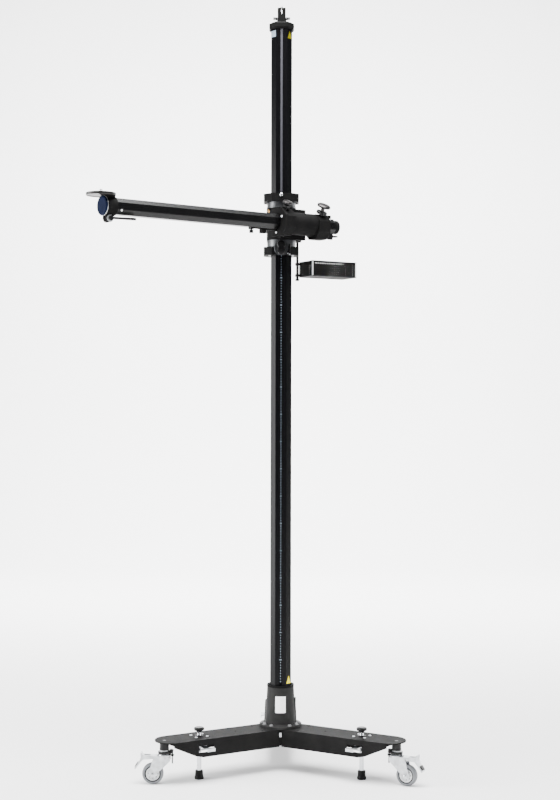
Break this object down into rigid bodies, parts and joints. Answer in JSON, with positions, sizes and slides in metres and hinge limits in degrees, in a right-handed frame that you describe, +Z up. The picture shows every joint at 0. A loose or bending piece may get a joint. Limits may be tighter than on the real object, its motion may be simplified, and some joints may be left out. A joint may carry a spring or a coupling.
{
  "type": "wheeled column stand",
  "caption": "Tall studio camera stand: castored three-leg base, turning column, counterbalanced carriage with a sliding side arm, rolling camera platform and small tray.",
  "frame": {"origin": "on the floor, on the column's axis", "axes": "+Z up along the column, +X to the right of the column's grooved front face, -Y to the front"},
  "size_m": [1.15, 1.1901, 2.803],
  "materials": {
    "powder_black": "textured matt",
    "cast_grey": "fine textured",
    "anodised_black": "satin anodised",
    "zinc": "bright zinc plated",
    "bright_steel": "polished",
    "plain_steel": "plain",
    "band": "flat lifting band",
    "rubber": "matt",
    "tyre": "grey rubber",
    "hub_white": "light moulded",
    "black_plastic": "moulded",
    "acetal": "low friction",
    "blue_cap": "satin blue",
    "platform_metal": "turned"
  },
  "bodies": {
    "base": {"base_legs": "powder_black", "base_hub_plate": "powder_black", "flange_bolts": "zinc", "column_housing": "cast_grey", "housing_bushes": "plain_steel", "caster_sleeves": "black_plastic", "foot_guides": "powder_black"},
    "caster_left": {"caster_fork_left": "zinc"},
    "wheel_left": {"caster_tyre_left": "tyre", "caster_hub_left": "hub_white"},
    "pedal_left": {"caster_pedal_left": "zinc"},
    "foot_left": {"foot_spindle_left": "bright_steel", "foot_rubber_left": "rubber"},
    "latch_left": {"foot_latch_left": "zinc"},
    "caster_right": {"caster_fork_right": "zinc"},
    "wheel_right": {"caster_tyre_right": "tyre", "caster_hub_right": "hub_white"},
    "pedal_right": {"caster_pedal_right": "zinc"},
    "foot_right": {"foot_spindle_right": "bright_steel", "foot_rubber_right": "rubber"},
    "latch_right": {"foot_latch_right": "zinc"},
    "caster_rear": {"caster_fork_rear": "zinc"},
    "wheel_rear": {"caster_tyre_rear": "tyre", "caster_hub_rear": "hub_white"},
    "pedal_rear": {"caster_pedal_rear": "zinc"},
    "foot_rear": {"foot_spindle_rear": "bright_steel", "foot_rubber_rear": "rubber"},
    "latch_rear": {"foot_latch_rear": "zinc"},
    "column": {"column_extrusion": "anodised_black", "top_cap": "cast_grey", "band_over_pulley": "band", "band_front": "band", "band_inner": "band", "top_socket": "cast_grey", "top_stud": "bright_steel"},
    "pulley": {"pulley": "plain_steel"},
    "counterweight": {"counterweight": "plain_steel"},
    "wing_left": {"wing_screw_left": "black_plastic"},
    "wing_right": {"wing_screw_right": "black_plastic"},
    "carriage": {"upper_collar": "cast_grey", "lower_collar": "cast_grey", "carriage_sleeve": "bright_steel", "guide_pads": "acetal", "band_anchor": "bright_steel"},
    "column_lock": {"column_lock_knob": "black_plastic"},
    "turret": {"turret_drum": "cast_grey", "arm_head": "cast_grey", "rear_collar": "cast_grey", "tray_bar": "powder_black"},
    "head_knob": {"head_knob": "bright_steel"},
    "rear_knob": {"rear_knob": "bright_steel"},
    "plunger": {"plunger": "black_plastic"},
    "arm": {"arm_tube": "anodised_black", "arm_end_plugs": "cast_grey", "platform_end_cap": "blue_cap"},
    "platform": {"platform_hub": "cast_grey", "platform_plate": "platform_metal", "camera_screw": "bright_steel"},
    "lever": {"clamp_lever": "black_plastic"},
    "tray": {"tray_basket": "powder_black"}
  },
  "joints": [
    {"name": "caster_swivel_left", "type": "hinge", "parent": "base", "child": "caster_left", "pos_m": [-0.40876, -0.236, 0.1], "axis": [0, 0, 1], "continuous": true},
    {"name": "wheel_spin_left", "type": "hinge", "parent": "caster_left", "child": "wheel_left", "pos_m": [-0.44876, -0.236, 0.0375], "axis": [0, -1, 0], "continuous": true},
    {"name": "brake_pedal_left", "type": "hinge", "parent": "caster_left", "child": "pedal_left", "pos_m": [-0.43976, -0.236, 0.096], "axis": [0, -1, 0], "range_deg": [-5, 3]},
    {"name": "foot_height_left", "type": "slide", "parent": "base", "child": "foot_left", "axis": [0, 0, 1], "range_m": [0, 0.05]},
    {"name": "foot_latch_left", "type": "hinge", "parent": "base", "child": "latch_left", "pos_m": [-0.30112, -0.14845, 0.12025], "axis": [-0.866, -0.5, 0], "range_deg": [-3, 3], "stiffness_Nm_per_rad": 6},
    {"name": "caster_swivel_right", "type": "hinge", "parent": "base", "child": "caster_right", "pos_m": [0.40876, -0.236, 0.1], "axis": [0, 0, 1], "continuous": true},
    {"name": "wheel_spin_right", "type": "hinge", "parent": "caster_right", "child": "wheel_right", "pos_m": [0.44408, -0.25478, 0.0375], "axis": [0.4695, 0.8829, 0], "continuous": true},
    {"name": "brake_pedal_right", "type": "hinge", "parent": "caster_right", "child": "pedal_right", "pos_m": [0.43613, -0.25055, 0.096], "axis": [0.4695, 0.8829, 0], "range_deg": [-5, 3]},
    {"name": "foot_height_right", "type": "slide", "parent": "base", "child": "foot_right", "axis": [0, 0, 1], "range_m": [0, 0.05]},
    {"name": "foot_latch_right", "type": "hinge", "parent": "base", "child": "latch_right", "pos_m": [0.30112, -0.14845, 0.12025], "axis": [-0.866, 0.5, 0], "range_deg": [-3, 3], "stiffness_Nm_per_rad": 6},
    {"name": "caster_swivel_rear", "type": "hinge", "parent": "base", "child": "caster_rear", "pos_m": [0, 0.472, 0.1], "axis": [0, 0, 1], "continuous": true},
    {"name": "wheel_spin_rear", "type": "hinge", "parent": "caster_rear", "child": "wheel_rear", "pos_m": [0.01368, 0.50959, 0.0375], "axis": [-0.9397, 0.342, 0], "continuous": true},
    {"name": "brake_pedal_rear", "type": "hinge", "parent": "caster_rear", "child": "pedal_rear", "pos_m": [0.0106, 0.50113, 0.096], "axis": [-0.9397, 0.342, 0], "range_deg": [-5, 3]},
    {"name": "foot_height_rear", "type": "slide", "parent": "base", "child": "foot_rear", "axis": [0, 0, 1], "range_m": [0, 0.05]},
    {"name": "foot_latch_rear", "type": "hinge", "parent": "base", "child": "latch_rear", "pos_m": [0.022, 0.335, 0.12025], "axis": [0, 1, 0], "range_deg": [-3, 3], "stiffness_Nm_per_rad": 6},
    {"name": "column_turn", "type": "hinge", "parent": "base", "child": "column", "pos_m": [0, 0, 0.2], "axis": [0, 0, 1], "continuous": true},
    {"name": "carriage_lift", "type": "slide", "parent": "column", "child": "carriage", "axis": [0, 0, 1], "range_m": [-1.45, 0.4], "deforming": ["band_front"]},
    {"name": "counterweight_travel", "type": "slide", "parent": "column", "child": "counterweight", "axis": [0, 0, 1], "range_m": [-0.4, 1.45], "deforming": ["band_inner"]},
    {"name": "pulley_turn", "type": "hinge", "parent": "column", "child": "pulley", "pos_m": [0, -0.0205, 2.719], "axis": [1, 0, 0], "range_deg": [-2100, 7200]},
    {"name": "wing_turn_left", "type": "hinge", "parent": "column", "child": "wing_left", "pos_m": [-0.02, 0, 2.7575], "axis": [-1, 0, 0], "range_deg": [-180, 180]},
    {"name": "wing_turn_right", "type": "hinge", "parent": "column", "child": "wing_right", "pos_m": [0.02, 0, 2.7575], "axis": [1, 0, 0], "range_deg": [-180, 180]},
    {"name": "column_lock_turn", "type": "hinge", "parent": "carriage", "child": "column_lock", "pos_m": [0, -0.06, 1.906], "axis": [0, -1, 0], "range_deg": [-270, 0]},
    {"name": "turret_turn", "type": "hinge", "parent": "carriage", "child": "turret", "pos_m": [0, 0, 1.995], "axis": [0, 0, 1], "continuous": true},
    {"name": "head_knob_turn", "type": "hinge", "parent": "turret", "child": "head_knob", "pos_m": [0.014, -0.142, 2.0348], "axis": [0.3, -0.4, 0.866], "range_deg": [-270, 0]},
    {"name": "rear_knob_turn", "type": "hinge", "parent": "turret", "child": "rear_knob", "pos_m": [0.1468, -0.0424, 2.0348], "axis": [0.3, -0.4, 0.866], "range_deg": [-270, 0]},
    {"name": "plunger_pull", "type": "slide", "parent": "turret", "child": "plunger", "axis": [0, 0, -1], "range_m": [0, 0.006], "stiffness_N_per_m": 400},
    {"name": "arm_slide", "type": "slide", "parent": "turret", "child": "arm", "axis": [-0.8, -0.6, 0], "range_m": [-0.47, 0.02]},
    {"name": "platform_roll", "type": "hinge", "parent": "arm", "child": "platform", "pos_m": [-0.5698, -0.5486, 1.9915], "axis": [-0.8, -0.6, 0], "range_deg": [-90, 90]},
    {"name": "clamp_lever_turn", "type": "hinge", "parent": "platform", "child": "lever", "pos_m": [-0.5722, -0.5504, 1.9505], "axis": [0.6, -0.8, 0], "range_deg": [-75, 0]},
    {"name": "tray_swing", "type": "hinge", "parent": "turret", "child": "tray", "pos_m": [0.0603, 0.086, 1.835], "axis": [0, 0, 1], "range_deg": [-30, 90]}
  ],
  "couplings": [
    {"joint": "counterweight_travel", "follows": "carriage_lift", "ratio": -1},
    {"joint": "pulley_turn", "follows": "carriage_lift", "rad_per_m": -61.35}
  ]
}
